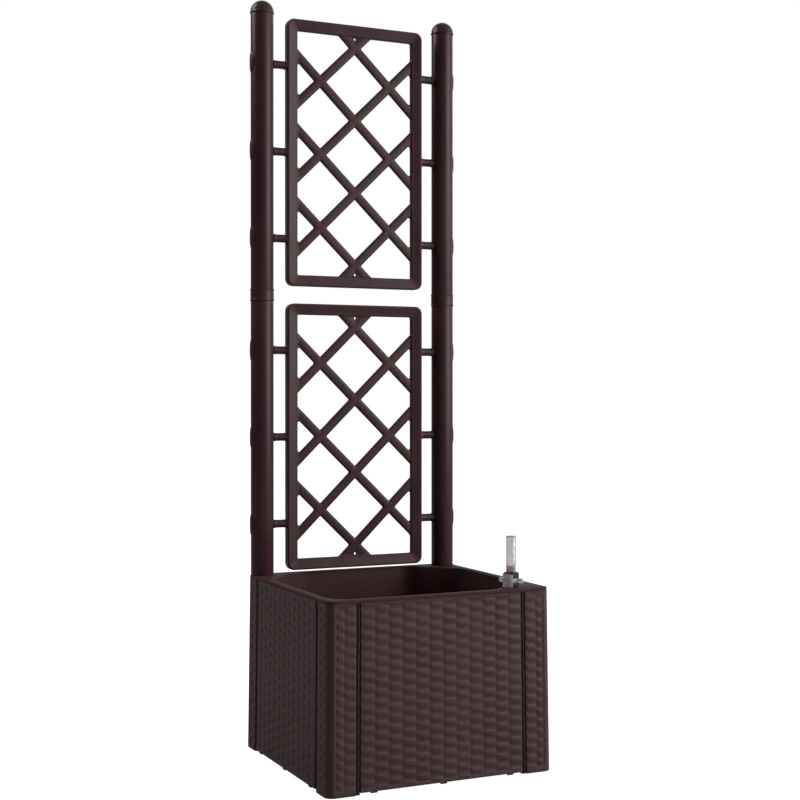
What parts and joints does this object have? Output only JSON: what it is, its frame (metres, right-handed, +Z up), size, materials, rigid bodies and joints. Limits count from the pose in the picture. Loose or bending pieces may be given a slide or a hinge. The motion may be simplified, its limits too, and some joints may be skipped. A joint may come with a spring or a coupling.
{
  "type": "planter with trellis",
  "caption": "Square woven-look self-watering planter box with a tall lattice trellis held between round posts at its back edge and a clear water gauge at the front corner.",
  "frame": {"origin": "on the floor under the middle of the box", "axes": "+Z up; the front, with the water gauge at its right-hand end, faces -Y; the posts and the trellis stand along the back edge on the +Y side; +X is to the right seen from the front"},
  "size_m": [0.43, 0.43, 1.422],
  "materials": {
    "woven_plastic": "woven relief, semi-matte",
    "corner_plastic": "woven relief, semi-matte",
    "liner_plastic": "smooth, semi-matte",
    "tray_plastic": "smooth, matte",
    "post_plastic": "smooth, satin sheen",
    "lattice_plastic": "smooth, satin sheen",
    "gauge_black": "smooth, satin",
    "gauge_grey": "milky, translucent",
    "gauge_clear": "clear, polished",
    "float_red": "smooth, satin"
  },
  "bodies": {
    "planter": {"front_wall": "woven_plastic", "right_wall": "woven_plastic", "back_wall": "woven_plastic", "left_wall": "woven_plastic", "corner_front_left": "corner_plastic", "corner_front_right": "corner_plastic", "corner_back_right": "corner_plastic", "corner_back_left": "corner_plastic", "soil_liner": "liner_plastic", "reservoir_tray": "tray_plastic", "wick_cup_front_left": "tray_plastic", "wick_cup_back_left": "tray_plastic", "wick_cup_front_right": "tray_plastic", "wick_cup_back_right": "tray_plastic", "post_lower_left": "post_plastic", "post_coupling_left": "post_plastic", "post_upper_left": "post_plastic", "post_cap_left": "post_plastic", "post_lower_right": "post_plastic", "post_coupling_right": "post_plastic", "post_upper_right": "post_plastic", "post_cap_right": "post_plastic", "post_socket_left": "post_plastic", "post_socket_right": "post_plastic", "trellis_lower": "lattice_plastic", "trellis_upper": "lattice_plastic", "peg_lower_left_1": "lattice_plastic", "peg_lower_left_2": "lattice_plastic", "peg_lower_left_3": "lattice_plastic", "peg_upper_left_1": "lattice_plastic", "peg_upper_left_2": "lattice_plastic", "peg_upper_left_3": "lattice_plastic", "peg_lower_right_1": "lattice_plastic", "peg_lower_right_2": "lattice_plastic", "peg_lower_right_3": "lattice_plastic", "peg_upper_right_1": "lattice_plastic", "peg_upper_right_2": "lattice_plastic", "peg_upper_right_3": "lattice_plastic", "gauge_well": "gauge_black", "gauge_collar_ring": "gauge_black", "gauge_wing_ring": "gauge_grey", "gauge_tube": "gauge_clear"},
    "float": {"gauge_float": "float_red"}
  },
  "joints": [
    {"name": "float_rise", "type": "slide", "parent": "planter", "child": "float", "axis": [0, 0, 1], "range_m": [0, 0.045]}
  ]
}
